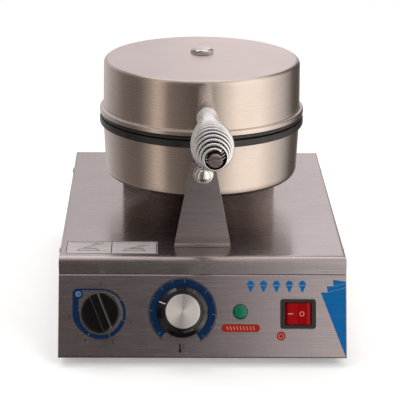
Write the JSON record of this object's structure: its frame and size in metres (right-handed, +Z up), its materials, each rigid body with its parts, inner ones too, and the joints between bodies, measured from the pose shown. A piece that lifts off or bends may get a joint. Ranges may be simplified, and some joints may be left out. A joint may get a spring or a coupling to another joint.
{
  "type": "waffle cone maker",
  "caption": "Countertop waffle cone baker: round baking plates in steel shells, hinged lid with a coil handle, on a sloped-front control box with timer, thermostat, lamp and switch.",
  "frame": {"origin": "middle of the footprint on the worktop, at the height of the feet's soles; the footprint runs from the end of the handle to the plug that lies behind the box", "axes": "+X to the operator's right, +Y to the rear, away from the handle, +Z up"},
  "size_m": [0.28, 0.5732, 0.2774],
  "materials": {
    "brushed_steel": "stainless sheet with a fine straight grain",
    "dark_steel": "darker satin steel",
    "chrome": "bright plating",
    "coated_aluminium": "cast, with a dark non-stick coating",
    "cast_aluminium": "as cast",
    "zinc_steel": "zinc plated",
    "heater_sheath": "oxidised by heat",
    "black_rubber": "matt",
    "black_plastic": "polished phenolic",
    "grey_plastic": "moulded",
    "red_plastic": "glossy, lit from inside",
    "green_lens": "clear moulded lens"
  },
  "bodies": {
    "base": {"top_cover": "brushed_steel", "base_tray": "brushed_steel", "control_panel": "brushed_steel", "foot_front_left": "black_rubber", "foot_front_right": "black_rubber", "foot_rear_left": "black_rubber", "foot_rear_right": "black_rubber", "timer_body": "grey_plastic", "thermostat_body": "zinc_steel", "thermostat_capillary": "zinc_steel", "lamp_lens": "green_lens", "lamp_body": "black_plastic", "switch_housing": "black_plastic", "terminal_block": "grey_plastic", "wiring_loom": "black_rubber", "lead_sleeve": "black_rubber", "cord_gland": "black_plastic", "power_cord": "black_rubber", "power_plug": "black_rubber", "front_bracket": "dark_steel", "front_bolt": "zinc_steel", "front_nut": "chrome", "rear_support": "brushed_steel", "rear_spacer": "zinc_steel", "rear_bolt": "zinc_steel", "rear_nut": "zinc_steel", "support_screw_left": "zinc_steel", "support_screw_right": "zinc_steel", "lower_shell": "brushed_steel", "lower_plate": "coated_aluminium", "lower_heater": "heater_sheath", "lower_clamp": "zinc_steel", "lower_stud": "zinc_steel", "lower_nut": "chrome", "hinge_base": "zinc_steel", "hinge_pin": "zinc_steel", "hinge_screw_left": "zinc_steel", "hinge_screw_right": "zinc_steel", "conduit_gland_base": "black_plastic", "lid_conduit": "dark_steel"},
    "lid": {"upper_shell": "brushed_steel", "upper_plate": "coated_aluminium", "upper_heater": "heater_sheath", "upper_clamp": "zinc_steel", "lid_stud": "zinc_steel", "lid_nut": "chrome", "hinge_arm": "cast_aluminium", "arm_screw_left": "zinc_steel", "arm_screw_right": "zinc_steel", "conduit_gland_lid": "black_plastic", "handle_rod": "dark_steel", "handle_coil": "chrome", "handle_collar": "chrome", "handle_nut": "zinc_steel"},
    "timer": {"timer_knob": "black_plastic", "timer_shaft": "zinc_steel"},
    "thermostat": {"thermostat_knob": "black_plastic", "thermostat_cap": "brushed_steel", "thermostat_shaft": "zinc_steel"},
    "rocker": {"switch_rocker": "red_plastic"}
  },
  "joints": [
    {"name": "lid_hinge", "type": "hinge", "parent": "base", "child": "lid", "pos_m": [0, 0.098, 0.222], "axis": [-1, 0, 0], "range_deg": [0, 100], "deforming": ["lid_conduit"]},
    {"name": "timer_spin", "type": "hinge", "parent": "base", "child": "timer", "pos_m": [-0.0987, -0.18256, 0.04877], "axis": [0, 0.9153, -0.4027], "range_deg": [-158, 107]},
    {"name": "thermostat_spin", "type": "hinge", "parent": "base", "child": "thermostat", "pos_m": [-0.0196, -0.18228, 0.04941], "axis": [0, 0.9153, -0.4027], "range_deg": [-74, 206]},
    {"name": "rocker_tilt", "type": "hinge", "parent": "base", "child": "rocker", "pos_m": [0.09275, -0.18193, 0.04772], "axis": [0, 0.4027, 0.9153], "range_deg": [0, 18]}
  ]
}
